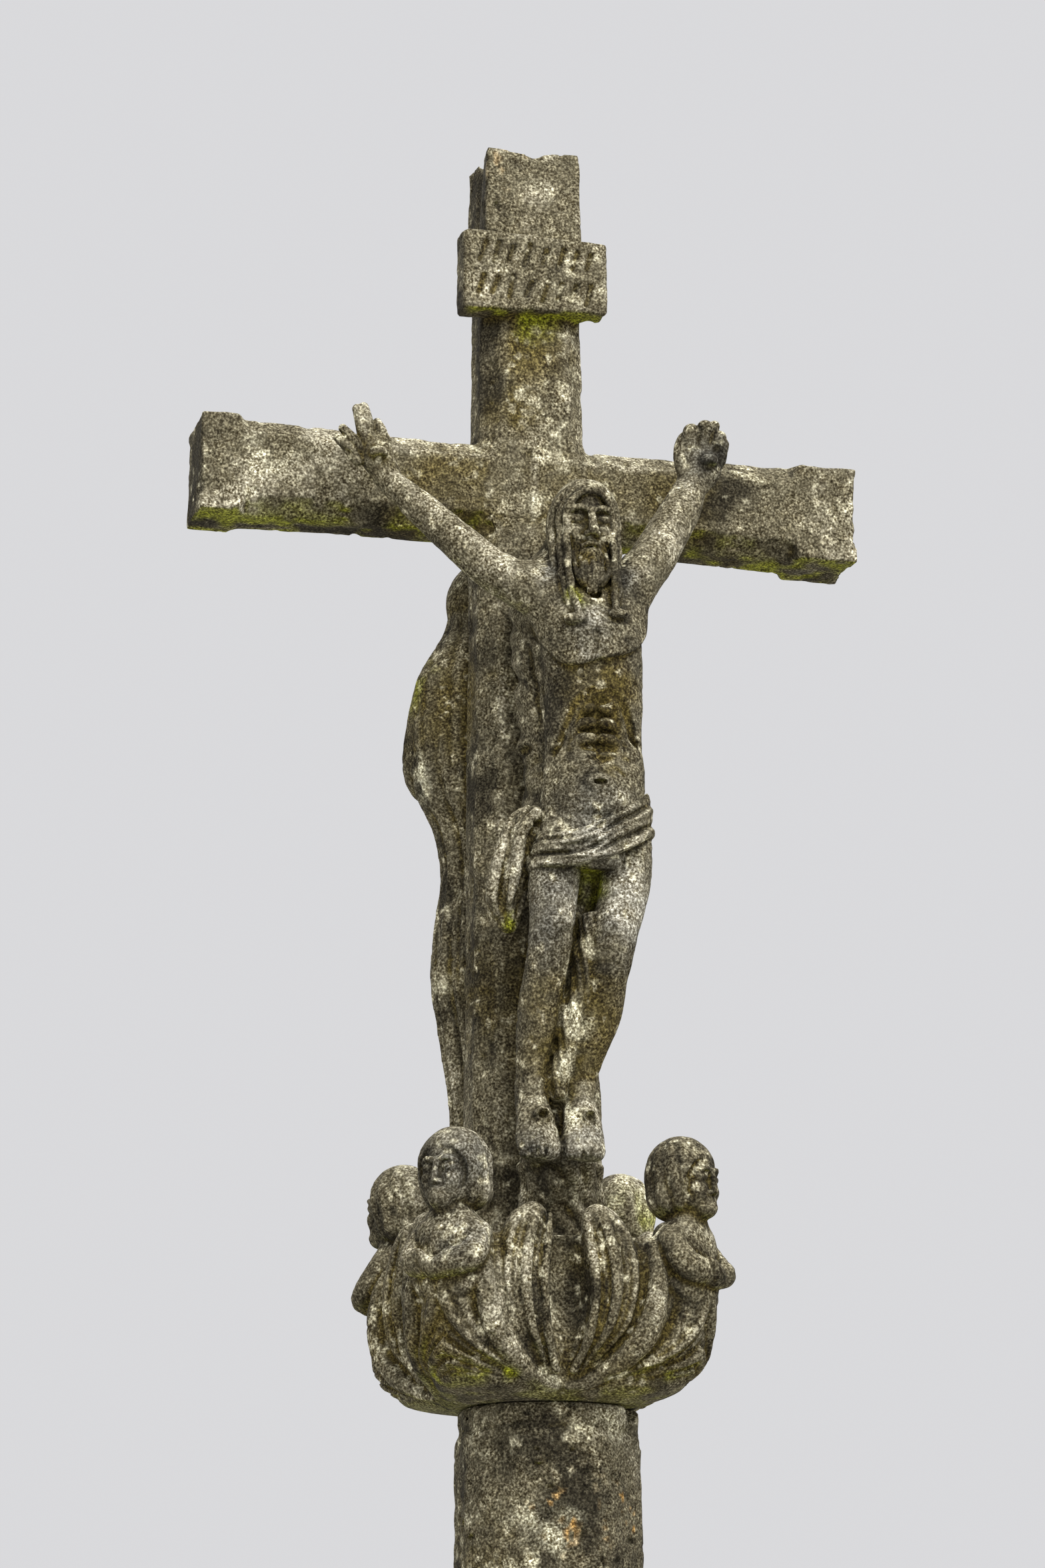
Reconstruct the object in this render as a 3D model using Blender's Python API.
"""A granite wayside cross: two steps, a plinth, an octagonal shaft, a capital carved with four
angel busts and paired wings, and a cross carved from one block with a crucified figure on its
front and a robed figure on its back.

Metres, +Z up. The origin is the centre of the lowest step's underside. The front of the cross
faces -Y, and its arms run along X.
"""

import bmesh
import bpy
from math import cos, hypot, pi, radians, sin
from mathutils import Vector

# Driving dimensions of the base and the shaft
LOWER_STEP_SIDE = 1.20
LOWER_STEP_HEIGHT = 0.15
UPPER_STEP_SIDE = 0.84
UPPER_STEP_HEIGHT = 0.15
STEP_ARRIS = 0.012
PLINTH_SIDE = 0.46
PLINTH_HEIGHT = 0.34
PLINTH_WASH = 0.045
SHAFT_DIAMETER = 0.272
SHAFT_HEIGHT = 1.00
SHAFT_ARRIS = 0.012
SHAFT_NECK = 0.03
BED_JOINT = 0.0003

# Driving dimensions of the capital, measured from the shaft's top
CAPITAL_OFFSET_X = -0.012
CAPITAL_FOOT_RADIUS = 0.134
CAPITAL_SEAT_HEIGHT = 0.24
FACE_REACH = 0.196
CORNER_REACH = 0.290
ANGEL_HEAD_HEIGHT = 0.332

# Driving dimensions of the cross. Heights are measured from the shaft's top.
CROSS_X = -0.022
CROSS_SET_BACK = 0.06
UPRIGHT_TOP = 2.03
UPRIGHT_WIDTH_TOP = 0.156
UPRIGHT_WIDTH_FOOT = 0.212
UPRIGHT_DEPTH = 0.130
ARM_HEIGHT = 0.150
ARM_DEPTH = 0.126
ARM_REACH_LEFT = 0.531
ARM_REACH_RIGHT = 0.530
CHAMFER = 0.025
WORN_ARRIS = 0.006
END_HOLLOW = 0.008
END_BLOCK = 0.070
TITLE_WIDTH = 0.238
TITLE_HEIGHT = 0.128
TITLE_PROUD = 0.032
TITLE_BELOW_TOP = 0.225
TITLE_STROKE_DEPTH = 0.006
FIGURE_HEIGHT = 1.06
FEET_ABOVE_CAPITAL = 0.116
FOOT_BLOCK_CLEARANCE = 0.001

# Worked out from the driving dimensions
LOWER_STEP_TOP = LOWER_STEP_HEIGHT
UPPER_STEP_TOP = LOWER_STEP_TOP + BED_JOINT + UPPER_STEP_HEIGHT
PLINTH_TOP = UPPER_STEP_TOP + BED_JOINT + PLINTH_HEIGHT
SHAFT_TOP = PLINTH_TOP + BED_JOINT + SHAFT_HEIGHT
FRONT_FACE_Y = CROSS_SET_BACK - UPRIGHT_DEPTH / 2
BACK_FACE_Y = CROSS_SET_BACK + UPRIGHT_DEPTH / 2
FIGURE_MM = FIGURE_HEIGHT / 1060
SOLES_BELOW_ARMS = 1104 * FIGURE_MM
ARM_LEVEL = CAPITAL_SEAT_HEIGHT + FEET_ABOVE_CAPITAL + SOLES_BELOW_ARMS
ROBED_MM = (ARM_LEVEL - ARM_HEIGHT / 2 - CAPITAL_SEAT_HEIGHT) / 1145

GRANITE_COLOUR = (0.36, 0.34, 0.29, 1.0)
PALE_GRANITE_COLOUR = (0.42, 0.40, 0.35, 1.0)


def clear_scene():
    for old in list(bpy.data.objects):
        bpy.data.objects.remove(old)


def granite(name, colour):
    material = bpy.data.materials.new(name)
    material.use_nodes = True
    shader = material.node_tree.nodes["Principled BSDF"]
    shader.inputs["Base Color"].default_value = colour
    shader.inputs["Roughness"].default_value = 0.92
    shader.inputs["Metallic"].default_value = 0.0
    return material


def loft(name, rings, dish=0.0):
    """A closed solid skinned over rings of equal count. dish sinks the middle of the last cap."""
    shape = bmesh.new()
    loops = [[shape.verts.new(point) for point in ring] for ring in rings]
    count = len(rings[0])
    for low, high in zip(loops, loops[1:]):
        for i in range(count):
            j = (i + 1) % count
            shape.faces.new((low[i], low[j], high[j], high[i]))
    for loop, inner, depth in ((loops[0], rings[1], 0.0), (loops[-1], rings[-2], dish)):
        if depth == 0.0:
            shape.faces.new(loop)
            continue
        middle = sum((vert.co for vert in loop), Vector()) / count
        inward = (sum(inner, Vector()) / count - middle).normalized()
        hub = shape.verts.new(middle + inward * depth)
        for i in range(count):
            shape.faces.new((loop[i], loop[(i + 1) % count], hub))
    bmesh.ops.recalc_face_normals(shape, faces=shape.faces)
    return solid_object(name, shape)


def solid_object(name, shape):
    mesh = bpy.data.meshes.new(name)
    shape.to_mesh(mesh)
    shape.free()
    solid = bpy.data.objects.new(name, mesh)
    bpy.context.scene.collection.objects.link(solid)
    return solid


def ellipse(centre, across, along, sides):
    """A ring of points round centre, with two half-axes given as vectors."""
    turns = (2 * pi * i / sides for i in range(sides))
    return [centre + across * cos(t) + along * sin(t) for t in turns]


def body(name, rows, sides, unit=1.0):
    """An upright form through horizontal ellipses: rows of z, x, y, half width, half depth."""
    rings = [
        ellipse(
            Vector((x, y, z)) * unit,
            Vector((half_width * unit, 0, 0)),
            Vector((0, half_depth * unit, 0)),
            sides,
        )
        for z, x, y, half_width, half_depth in rows
    ]
    return loft(name, rings)


def limb(name, points, radii, sides=8, unit=1.0, flat=1.0):
    """A round form along a path, with blunt ends. flat below 1 thins it front to back."""
    path = [Vector(point) * unit for point in points]
    girth = [radius * unit for radius in radii]
    first = (path[0] - path[1]).normalized()
    last = (path[-1] - path[-2]).normalized()
    stations = (
        [(path[0] + first * girth[0] * 0.7, girth[0] * 0.55)]
        + list(zip(path, girth))
        + [(path[-1] + last * girth[-1] * 0.7, girth[-1] * 0.55)]
    )
    rings = []
    for i, (point, radius) in enumerate(stations):
        before = stations[max(i - 1, 0)][0]
        after = stations[min(i + 1, len(stations) - 1)][0]
        run = (after - before).normalized()
        across = run.cross(Vector((0, 1, 0))).normalized()
        along = across.cross(run).normalized()
        rings.append(ellipse(point, across * radius, along * radius * flat, sides))
    return loft(name, rings)


def ball(name, centre, radii, unit=1.0, segments=10, bands=7):
    """An ellipsoid with its poles up and down."""
    rows = []
    for i in range(bands):
        turn = pi * (i + 0.5) / bands
        rows.append(
            (
                centre[2] - radii[2] * cos(turn),
                centre[0],
                centre[1],
                radii[0] * sin(turn),
                radii[1] * sin(turn),
            )
        )
    return body(name, rows, segments, unit)


def turn_about_z(solids, angle):
    for solid in solids:
        solid.rotation_euler = (0, 0, angle)


def carve_from_one_block(name, forms, cutters, material, parent):
    """Joins forms into one solid by Boolean union, then takes the cutters away from it."""
    base = forms[0]
    base.name = name
    base.parent = parent
    base.data.materials.append(material)
    for operation, solids in (("UNION", forms[1:]), ("DIFFERENCE", cutters)):
        if not solids:
            continue
        group = bpy.data.collections.new(f"{name} {operation.lower()}")
        group.hide_render = True
        bpy.context.scene.collection.children.link(group)
        for solid in solids:
            bpy.context.scene.collection.objects.unlink(solid)
            group.objects.link(solid)
            solid.parent = parent
            solid.hide_render = True
            solid.display_type = "WIRE"
        modifier = base.modifiers.new(operation.lower(), "BOOLEAN")
        modifier.operation = operation
        modifier.operand_type = "COLLECTION"
        modifier.collection = group
        modifier.solver = "EXACT"
    return base


# Base and shaft


def square_block(name, side, bottom, height, arris, wash=0.0):
    """A square slab with worn arrises. wash slopes its upper edge back to shed rain."""
    half = side / 2
    rows = [
        (bottom, half - arris),
        (bottom + arris, half),
        (bottom + height - arris - wash, half),
        (bottom + height, half - arris - wash),
    ]
    rings = [
        [Vector((reach * sx, reach * sy, z)) for sx, sy in ((1, 1), (-1, 1), (-1, -1), (1, -1))]
        for z, reach in rows
    ]
    return loft(name, rings)


def shaft_ring(z, roundness):
    """An octagon with worn arrises, 16 points, drawn towards a circle as roundness nears 1."""
    radius = SHAFT_DIAMETER / 2
    corner = radius / cos(pi / 8)
    worn = SHAFT_ARRIS / corner
    points = []
    for i in range(8):
        for side in (-1, 1):
            octagon = Vector((cos(pi / 8 + i * pi / 4), sin(pi / 8 + i * pi / 4), 0)) * corner
            slide = Vector((-sin(pi / 8 + i * pi / 4), cos(pi / 8 + i * pi / 4), 0))
            flat_point = octagon * (1 - worn * 0.4) + slide * side * SHAFT_ARRIS
            turn = pi / 8 + i * pi / 4 + side * pi / 16
            round_point = Vector((cos(turn), sin(turn), 0)) * radius
            points.append(flat_point.lerp(round_point, roundness) + Vector((0, 0, z)))
    return points


def build_shaft(material):
    foot = PLINTH_TOP + BED_JOINT
    rings = [
        shaft_ring(foot, 0.0),
        shaft_ring(SHAFT_TOP - SHAFT_NECK * 1.6, 0.0),
        shaft_ring(SHAFT_TOP - SHAFT_NECK, 0.85),
        shaft_ring(SHAFT_TOP, 1.0),
    ]
    shaft = loft("shaft", rings)
    shaft.data.materials.append(material)
    return shaft


# Capital


def bowl(name):
    """The body of the capital: a round foot that swells into a four-cornered fluted bowl."""
    # Share of the seat height, shares of the reach at the faces and at the corners, fluting
    profile = (
        (0.00, 0.00, 0.00, 0.000),
        (0.04, 0.30, 0.42, 0.000),
        (0.14, 0.56, 0.74, 0.010),
        (0.40, 0.88, 0.96, 0.024),
        (0.64, 0.96, 0.98, 0.028),
        (0.86, 1.00, 0.82, 0.024),
        (1.00, 0.95, 0.62, 0.012),
    )
    sides = 32
    rings = []
    for height, face_share, corner_share, flute in profile:
        face = CAPITAL_FOOT_RADIUS + (FACE_REACH - CAPITAL_FOOT_RADIUS) * face_share
        corner = CAPITAL_FOOT_RADIUS + (CORNER_REACH - CAPITAL_FOOT_RADIUS) * corner_share
        ring = []
        for i in range(sides):
            turn = 2 * pi * i / sides
            lobe = ((1 - cos(4 * turn)) / 2) ** 1.3
            reach = (face + (corner - face) * lobe) * (1 + flute * cos(16 * turn))
            z = BED_JOINT + (CAPITAL_SEAT_HEIGHT - BED_JOINT) * height
            ring.append(Vector((reach * cos(turn), reach * sin(turn), z)))
        rings.append(ring)
    return loft(name, rings)


def angel(index):
    """One corner's bust, facing outward: head, hair, neck, breast and crossed arms."""
    out = CORNER_REACH
    head = ANGEL_HEAD_HEIGHT
    rest = CAPITAL_SEAT_HEIGHT
    name = f"angel_{index}"
    rows = (
        (rest - 0.150, 0.065, 0.040, 0.040),
        (rest - 0.090, 0.035, 0.062, 0.058),
        (rest - 0.030, 0.032, 0.068, 0.055),
        (rest + 0.010, 0.034, 0.062, 0.046),
        (rest + 0.030, 0.035, 0.036, 0.032),
        (head - 0.020, 0.034, 0.027, 0.028),
    )
    forms = [
        body(name + "_breast", [(z, 0, inset - out, wide, deep) for z, inset, wide, deep in rows], 8),
        ball(name + "_head", (0, 0.025 - out, head - 0.002), (0.046, 0.050, 0.060), 1.0, 8, 6),
        ball(name + "_hair", (0, 0.042 - out, head + 0.002), (0.061, 0.052, 0.066), 1.0, 8, 5),
        limb(
            name + "_nose",
            ((0, -out - 0.022, head + 0.010), (0, -out - 0.028, head - 0.008)),
            (0.006, 0.010),
            4,
        ),
    ]
    for side in (-1, 1):
        shoulder = (side * 0.056, 0.040 - out, rest - 0.005)
        elbow = (side * 0.052, 0.005 - out, rest - 0.080)
        hand_point = (-side * 0.022, -0.022 - out, rest - 0.030)
        girth = (0.022, 0.023, 0.016)
        forms.append(limb(f"{name}_arm_{side}", (shoulder, elbow, hand_point), girth, 5))
    return forms


def wings(index):
    """One face's pair of wings: ridges that sweep down to the middle of the foot."""
    reach = FACE_REACH
    # The back pair stops below the seat, where the robed figure stands
    top = CAPITAL_SEAT_HEIGHT - (0.055 if index == 2 else 0.0)
    # Distance from the middle, distance out of the face, share of the height, half thickness
    feather = (
        (0.060, -0.002, 1.04, 0.035),
        (0.068, 0.004, 0.76, 0.041),
        (0.060, 0.002, 0.46, 0.036),
        (0.032, -0.018, 0.22, 0.024),
        (0.006, -0.040, 0.08, 0.011),
    )
    swoop = (
        (0.128, -0.008, 0.62, 0.026),
        (0.098, 0.004, 0.36, 0.026),
        (0.056, -0.017, 0.17, 0.022),
        (0.012, -0.048, 0.05, 0.010),
    )
    forms = []
    for side in (-1, 1):
        for part, rows in (("feather", feather), ("swoop", swoop)):
            points = [(side * x, -reach - proud, top * share) for x, proud, share, _ in rows]
            girth = [thick for _, _, _, thick in rows]
            forms.append(limb(f"wing_{index}_{part}_{side}", points, girth, 5))
    return forms


def build_capital(material):
    axis = bpy.data.objects.new("capital axis", None)
    axis.location = (CAPITAL_OFFSET_X, 0, SHAFT_TOP)
    bpy.context.scene.collection.objects.link(axis)
    forms = [bowl("capital")]
    for index in range(4):
        corner_forms = angel(index)
        turn_about_z(corner_forms, pi / 4 + index * pi / 2)
        face_forms = wings(index)
        turn_about_z(face_forms, index * pi / 2)
        forms += corner_forms + face_forms
    return carve_from_one_block("capital", forms, [], material, axis)


# Cross


def beam_ring(centre, across, along, chamfer, hollow):
    """A chamfered rectangle of 12 points. hollow sinks the middle of each side."""
    wide, deep = across.length, along.length
    u, v = across.normalized(), along.normalized()
    quarter = (
        (wide - hollow, 0.0),
        (wide, deep - chamfer),
        (wide - chamfer, deep),
        (0.0, deep - hollow),
        (-wide + chamfer, deep),
        (-wide, deep - chamfer),
    )
    points = [centre + u * a + v * b for a, b in quarter]
    return points + [centre - u * a - v * b for a, b in quarter]


def upright():
    foot = CAPITAL_SEAT_HEIGHT + BED_JOINT
    block = UPRIGHT_TOP - END_BLOCK * 2.2
    rows = (
        (foot, CHAMFER * 0.8, 0.0),
        (block - 0.012, CHAMFER, 0.0),
        (block, WORN_ARRIS, END_HOLLOW / 2),
        (UPRIGHT_TOP, WORN_ARRIS, END_HOLLOW),
    )
    rings = []
    for z, chamfer, hollow in rows:
        share = (z - foot) / (UPRIGHT_TOP - foot)
        width = UPRIGHT_WIDTH_FOOT + (UPRIGHT_WIDTH_TOP - UPRIGHT_WIDTH_FOOT) * share
        sway = 0.015 * (1 - share)
        centre = Vector((CROSS_X + sway, CROSS_SET_BACK, z))
        across = Vector((width / 2, 0, 0))
        rings.append(beam_ring(centre, across, Vector((0, UPRIGHT_DEPTH / 2, 0)), chamfer, hollow))
    return loft("upright", rings, dish=END_HOLLOW * 2)


def arm(side, reach, block):
    rows = (
        (-0.02, CHAMFER, 0.0, 0.98),
        (reach - block - 0.012, CHAMFER, 0.0, 0.98),
        (reach - block, WORN_ARRIS, END_HOLLOW / 2, 1.0),
        (reach, WORN_ARRIS, END_HOLLOW, 1.03),
    )
    rings = []
    for x, chamfer, hollow, swell in rows:
        centre = Vector((CROSS_X + side * x, CROSS_SET_BACK, ARM_LEVEL))
        across = Vector((0, 0, ARM_HEIGHT / 2 * swell))
        rings.append(beam_ring(centre, across, Vector((0, ARM_DEPTH / 2, 0)), chamfer, hollow))
    return loft(f"arm_{side}", rings, dish=END_HOLLOW * 2)


def title_board():
    """The board over the figure, with two rows of plain cut strokes."""
    middle = Vector((CROSS_X - 0.004, FRONT_FACE_Y, UPRIGHT_TOP - TITLE_BELOW_TOP))
    half_width, half_height, arris = TITLE_WIDTH / 2, TITLE_HEIGHT / 2, 0.005
    rings = []
    for y, shrink in ((0.02, 0.0), (arris - TITLE_PROUD, 0.0), (-TITLE_PROUD, arris)):
        corners = ((1, 1.0 - 0.08), (-1, 1.04), (-1, -1.04), (1, -1.0 + 0.08))
        rings.append(
            [
                middle
                + Vector((sx * (half_width - shrink), y, sz * (half_height - shrink)))
                for sx, sz in corners
            ]
        )
    board = loft("title_board", rings)
    strokes = []
    columns, rows = 7, 2
    for row in range(rows):
        for column in range(columns):
            x = (column - (columns - 1) / 2) * TITLE_WIDTH * 0.122
            z = (row - (rows - 1) / 2) * TITLE_HEIGHT * 0.42
            rise = TITLE_HEIGHT * 0.15
            points = [
                middle + Vector((x - rise * 0.2, -TITLE_PROUD - 0.001, z - rise)),
                middle + Vector((x + rise * 0.2, -TITLE_PROUD - 0.001, z + rise)),
            ]
            strokes.append(limb(f"stroke_{row}_{column}", points, (TITLE_STROKE_DEPTH,) * 2, 4))
    return board, strokes


def place(solids, origin):
    for solid in solids:
        solid.location = origin
    return solids


def hand(name, nail, fingers, wrist, unit):
    """A palm, its fingers from base to tip, and the nail head in the palm's middle."""
    nail_point = Vector(nail)
    forms = [
        limb(
            name + "_palm",
            (Vector(wrist), nail_point + Vector((0, 16, 6)), nail_point + Vector((0, 18, 26))),
            (20, 27, 22),
            8,
            unit,
            flat=0.62,
        ),
        limb(
            name + "_nail",
            (nail_point + Vector((0, 14, 0)), nail_point + Vector((0.5, -6, -1))),
            (11, 13),
            6,
            unit,
        ),
    ]
    for number, (base, tip) in enumerate(fingers):
        start = nail_point + Vector((base[0], 20, base[1]))
        end = nail_point + Vector((tip[0], 16, tip[1]))
        middle = start.lerp(end, 0.55) + Vector((0, -4, 0))
        forms.append(
            limb(f"{name}_finger_{number}", (start, middle, end), (9, 9, 7.5), 5, unit)
        )
    return forms


def crucified_figure():
    """Drawn in millimetres from the middle of the crossing on the upright's front face."""
    mm = FIGURE_MM
    block_foot = (CAPITAL_SEAT_HEIGHT + FOOT_BLOCK_CLEARANCE - ARM_LEVEL) / mm
    forms = [
        body(
            "torso",
            (
                (-610, 54, -143, 76, 54),
                (-560, 57, -146, 84, 58),
                (-505, 58, -147, 79, 54),
                (-450, 58, -143, 73, 46),
                (-390, 59, -147, 73, 56),
                (-330, 56, -152, 75, 62),
                (-285, 52, -153, 76, 61),
                (-240, 44, -150, 90, 55),
                (-205, 32, -146, 100, 42),
                (-176, 30, -140, 74, 30),
            ),
            14,
            mm,
        ),
        body(
            "web",
            (
                (-1100, 10, -52, 44, 66),
                (-1010, 8, -50, 38, 72),
                (-865, 26, -56, 40, 72),
                (-740, 35, -52, 44, 84),
                (-600, 38, -60, 66, 90),
                (-300, 30, -66, 70, 92),
                (-195, 26, -66, 62, 88),
                (-110, 42, -62, 44, 84),
            ),
            10,
            mm,
        ),
        body(
            "foot_block",
            (
                (block_foot, 46, -20, 70, 60),
                (block_foot + 69, 46, -24, 70, 66),
                (-1092, 44, -34, 70, 74),
            ),
            8,
            mm,
        ),
        body(
            "mane",
            (
                (-292, 38, -150, 42, 24),
                (-250, 40, -158, 46, 28),
                (-190, 42, -152, 50, 34),
                (-130, 42, -146, 54, 40),
            ),
            8,
            mm,
        ),
        ball("skull", (42, -128, -104), (58, 70, 70), mm),
        ball("face", (42, -172, -142), (37, 40, 68), mm),
        ball("beard", (40, -190, -210), (29, 27, 42), mm, 8, 6),
        limb("nose_ridge", ((41, -206, -96), (40, -217, -128)), (6, 9), 5, mm),
        limb("neck", ((42, -150, -170), (44, -150, -235)), (34, 38), 8, mm),
        limb(
            "hair_roll",
            (
                (4, -192, -280),
                (-5, -186, -215),
                (-9, -176, -130),
                (5, -172, -76),
                (40, -172, -54),
                (76, -172, -76),
                (90, -176, -130),
                (87, -184, -210),
                (74, -196, -262),
            ),
            (13, 15, 16, 18, 18, 18, 16, 15, 13),
            7,
            mm,
        ),
        limb(
            "arm_left",
            ((-30, -148, -222), (-93, -136, -189), (-147, -120, -141), (-200, -98, -87), (-256, -76, -30)),
            (40, 34, 30, 26, 20),
            8,
            mm,
        ),
        limb(
            "arm_right",
            ((112, -146, -208), (150, -136, -157), (180, -118, -108), (214, -96, -51), (240, -78, 2)),
            (42, 39, 35, 31, 25),
            8,
            mm,
        ),
        limb(
            "leg_left",
            (
                (8, -140, -590),
                (-4, -145, -660),
                (-13, -164, -745),
                (-18, -156, -800),
                (-24, -132, -865),
                (-32, -114, -950),
                (-34, -112, -1010),
            ),
            (42, 40, 35, 33, 33, 27, 25),
            8,
            mm,
        ),
        limb(
            "leg_right",
            (
                (100, -140, -580),
                (108, -144, -655),
                (84, -166, -755),
                (74, -154, -810),
                (66, -134, -870),
                (46, -114, -950),
                (38, -112, -1010),
            ),
            (44, 41, 36, 37, 36, 28, 25),
            8,
            mm,
        ),
    ]
    forms += loincloth(mm) + feet(mm)
    forms += hand(
        "left_hand",
        (-272, -96, 2),
        (
            ((-19, 20), (-36, 76)),
            ((-12, 22), (-23, 79)),
            ((9, 18), (1, 55)),
            ((-24, 4), (-54, 42)),
            ((-28, -6), (-58, 27)),
        ),
        (-252, -72, -16),
        mm,
    )
    forms += hand(
        "right_hand",
        (260, -98, 30),
        (
            ((-34, 2), (-26, 54)),
            ((-8, 30), (-6, 70)),
            ((10, 30), (14, 72)),
            ((24, 22), (32, 54)),
            ((30, 6), (42, 34)),
        ),
        (243, -74, 8),
        mm,
    )
    return place(forms, (CROSS_X, FRONT_FACE_Y, ARM_LEVEL))


def loincloth(mm):
    """A wrap that climbs to the right in three rolls, with a gathered end on the left hip."""
    slope = 0.37
    rows = []
    rolls = 3
    for i in range(2 * rolls + 1):
        share = i / (2 * rolls)
        z = -636 + 74 * share
        swell = 7 if i % 2 else 0
        rows.append((z, 53, -146, 96 - 6 * share + swell, 63 - 3 * share + swell))
    rings = []
    for z, x, y, half_width, half_depth in rows:
        ring = ellipse(
            Vector((x, y, z)) * mm,
            Vector((half_width, 0, half_width * slope)) * mm,
            Vector((0, half_depth, 0)) * mm,
            16,
        )
        rings.append(ring)
    wrap = loft("wrap", rings)
    gather = body(
        "gathered_end",
        (
            (-742, -62, -96, 12, 12),
            (-704, -70, -100, 30, 24),
            (-665, -70, -106, 34, 30),
            (-620, -58, -112, 32, 34),
            (-580, -46, -118, 28, 32),
            (-560, -42, -118, 18, 22),
        ),
        8,
        mm,
    )
    return [wrap, gather]


def feet(mm):
    """Two feet side by side, toes down, each with a worn nail head on the instep."""
    forms = []
    for name, ankle, toe in (("left", (-33, -112), (-32, -158)), ("right", (40, -112), (38, -158))):
        rows = (
            (-1000, ankle[0], ankle[1], 24, 28),
            (-1040, (ankle[0] + toe[0]) / 2, (ankle[1] + toe[1]) / 2, 28, 27),
            (-1075, toe[0], toe[1] + 12, 33, 25),
            (-1096, toe[0], toe[1], 32, 19),
            (-1104, toe[0], toe[1], 26, 12),
        )
        forms.append(body(f"foot_{name}", rows, 10, mm))
        nail = (ankle[0] + 4, -155, -1034)
        forms.append(limb(f"foot_nail_{name}", (nail, (nail[0], -168, -1036)), (8, 8), 6, mm))
    return forms


def robed_figure():
    """Drawn in millimetres up from the capital's seat, behind the upright's back face."""
    mm = ROBED_MM
    rows = (
        (1, -8, 22, 86, 48),
        (120, -8, 26, 80, 52),
        (260, -8, 32, 85, 56),
        (380, -8, 38, 103, 62),
        (450, -8, 42, 112, 66),
        (520, -8, 44, 110, 67),
        (660, -8, 44, 98, 64),
        (700, -8, 44, 112, 68),
        (742, -8, 44, 137, 72),
        (815, -8, 46, 150, 74),
        (890, -8, 48, 148, 74),
        (945, -8, 50, 138, 70),
        (985, -10, 52, 112, 62),
        (1018, -12, 56, 90, 58),
    )
    robe = fluted_robe(rows, mm)
    forms = [
        robe,
        ball("veiled_head", (-14, 62, 1074), (82, 66, 82), mm, 12, 7),
        ball("rear_face", (-14, 108, 1066), (34, 36, 48), mm, 8, 6),
        limb("rear_nose", ((-14, 140, 1078), (-14, 149, 1056)), (5, 8), 6, mm),
        limb("rear_hands", ((-14, 118, 842), (-14, 136, 916)), (20, 12), 6, mm, flat=1.3),
    ]
    for side in (-1, 1):
        arm_path = (
            (-8 + side * 112, 56, 925),
            (-8 + side * 124, 66, 855),
            (-8 + side * 120, 82, 790),
            (-10 + side * 78, 106, 778),
            (-14 + side * 14, 122, 850),
        )
        forms.append(limb(f"rear_arm_{side}", arm_path, (26, 31, 31, 28, 22), 7, mm))
    return place(forms, (CROSS_X, BACK_FACE_Y, CAPITAL_SEAT_HEIGHT))


def fluted_robe(rows, mm):
    """The robe's ellipses, with upright folds that fade out at the shoulders."""
    sides, folds = 20, 10
    rings = []
    for z, x, y, half_width, half_depth in rows:
        fade = max(0.0, 1 - z / 900)
        ring = []
        for i in range(sides):
            turn = 2 * pi * i / sides
            ripple = 1 + 0.05 * fade * cos(folds * turn)
            ring.append(
                Vector((x + half_width * ripple * cos(turn), y + half_depth * ripple * sin(turn), z))
                * mm
            )
        rings.append(ring)
    return loft("robe", rings)


def build_cross(material):
    axis = bpy.data.objects.new("cross axis", None)
    axis.location = (0, 0, SHAFT_TOP)
    bpy.context.scene.collection.objects.link(axis)
    board, strokes = title_board()
    forms = [
        upright(),
        arm(-1, ARM_REACH_LEFT, END_BLOCK * 0.8),
        arm(1, ARM_REACH_RIGHT, END_BLOCK * 1.3),
        board,
    ]
    forms += crucified_figure() + robed_figure()
    return carve_from_one_block("cross", forms, strokes, material, axis)


def main():
    clear_scene()
    stone = granite("weathered granite", GRANITE_COLOUR)
    base_stone = granite("base granite", PALE_GRANITE_COLOUR)
    slabs = (
        square_block("lower_step", LOWER_STEP_SIDE, 0.0, LOWER_STEP_HEIGHT, STEP_ARRIS),
        square_block(
            "upper_step",
            UPPER_STEP_SIDE,
            LOWER_STEP_TOP + BED_JOINT,
            UPPER_STEP_HEIGHT,
            STEP_ARRIS,
        ),
        square_block(
            "plinth",
            PLINTH_SIDE,
            UPPER_STEP_TOP + BED_JOINT,
            PLINTH_HEIGHT,
            STEP_ARRIS,
            PLINTH_WASH,
        ),
    )
    for slab in slabs:
        slab.data.materials.append(base_stone)
    build_shaft(stone)
    build_capital(stone)
    build_cross(stone)


main()
